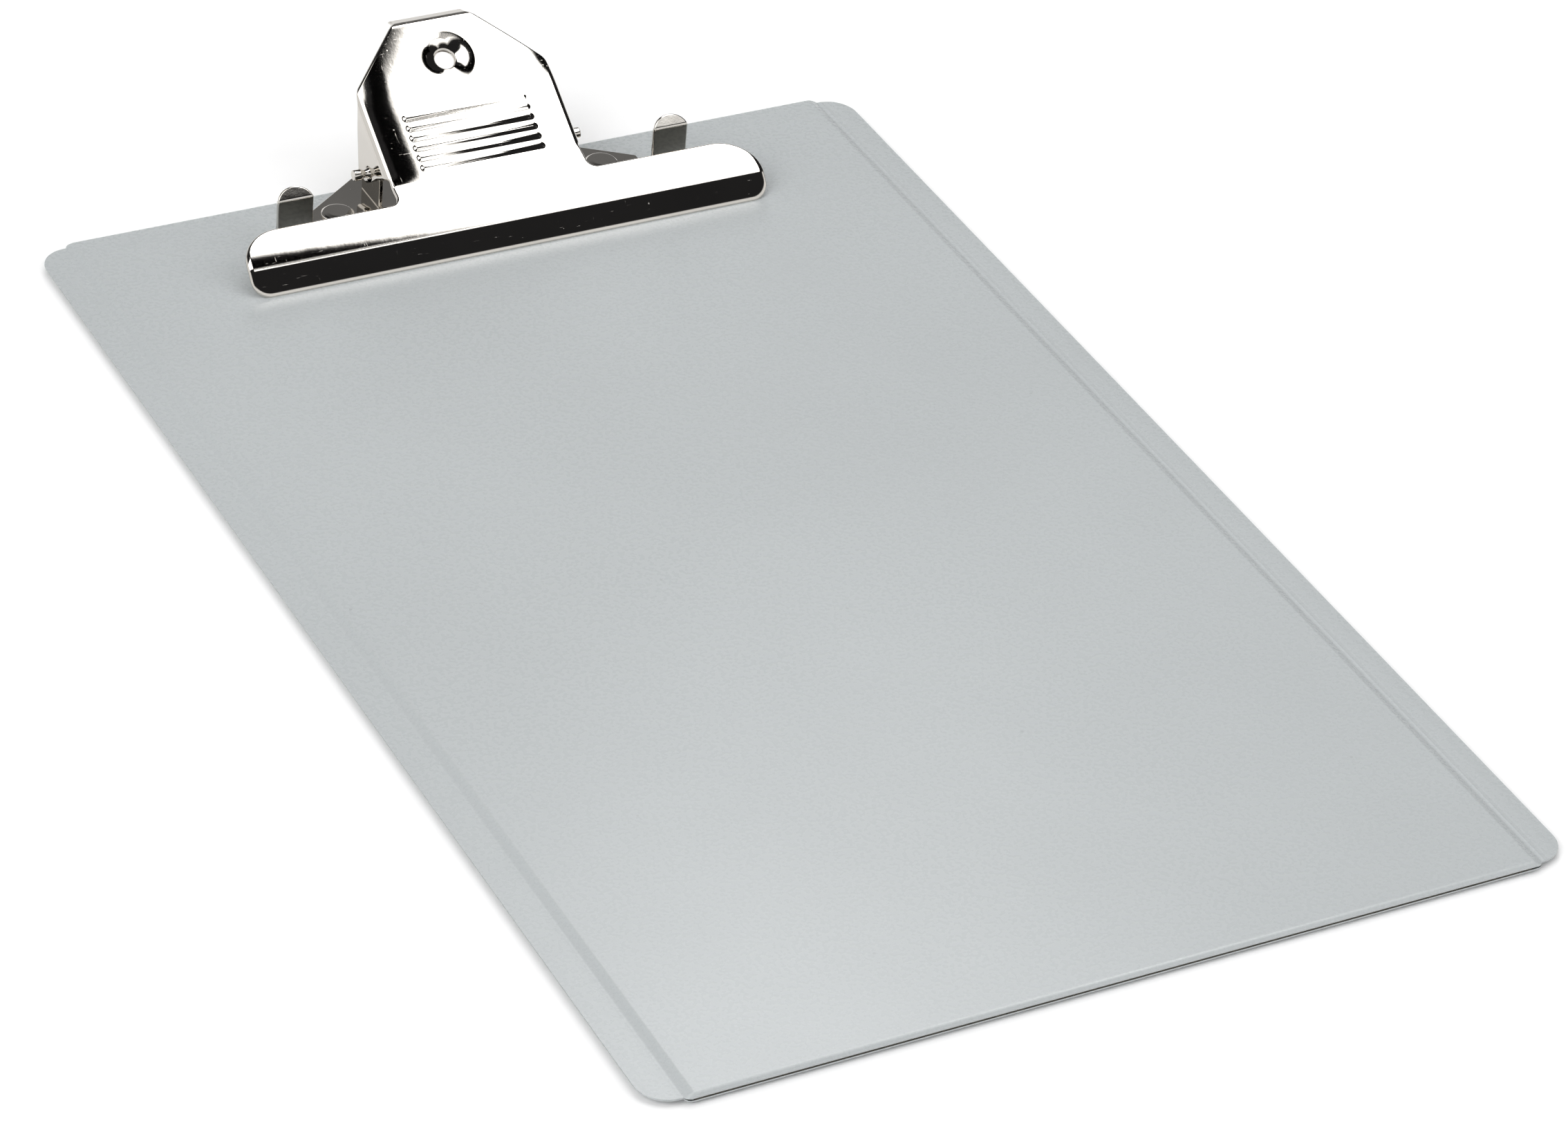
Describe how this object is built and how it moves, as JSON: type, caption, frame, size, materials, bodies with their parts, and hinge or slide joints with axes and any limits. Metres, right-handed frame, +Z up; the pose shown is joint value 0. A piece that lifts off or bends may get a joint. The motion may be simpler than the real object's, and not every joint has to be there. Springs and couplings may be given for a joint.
{
  "type": "clipboard",
  "caption": "Foolscap clipboard: film-covered board with a sprung, riveted steel lever clip, paper stops and a hanging hole.",
  "frame": {"origin": "bottom centre of the whole object's box, on the surface it lies on", "axes": "+X to the reader's right, +Y along the board towards the clip, +Z up out of the paper side"},
  "size_m": [0.23, 0.3708, 0.039],
  "materials": {
    "paperboard": "matt grey paperboard",
    "film": "satin grey plastic film",
    "plated_steel": "bright nickel plating",
    "spring_steel": "drawn steel wire"
  },
  "bodies": {
    "board": {"board_core": "paperboard", "front_cover": "film", "back_cover": "film", "base_plate": "plated_steel", "hinge_pin": "plated_steel", "torsion_spring": "spring_steel", "rivet_left": "plated_steel", "rivet_right": "plated_steel", "rivet_washer_left": "spring_steel", "rivet_washer_right": "spring_steel"},
    "jaw": {"jaw_lever": "plated_steel"}
  },
  "joints": [
    {"name": "jaw_hinge", "type": "hinge", "parent": "board", "child": "jaw", "pos_m": [0, 0.15961, 0.0118], "axis": [-1, 0, 0], "range_deg": [0, 30], "stiffness_Nm_per_rad": 0.5, "springref_deg": -34.38, "deforming": ["torsion_spring"]}
  ]
}
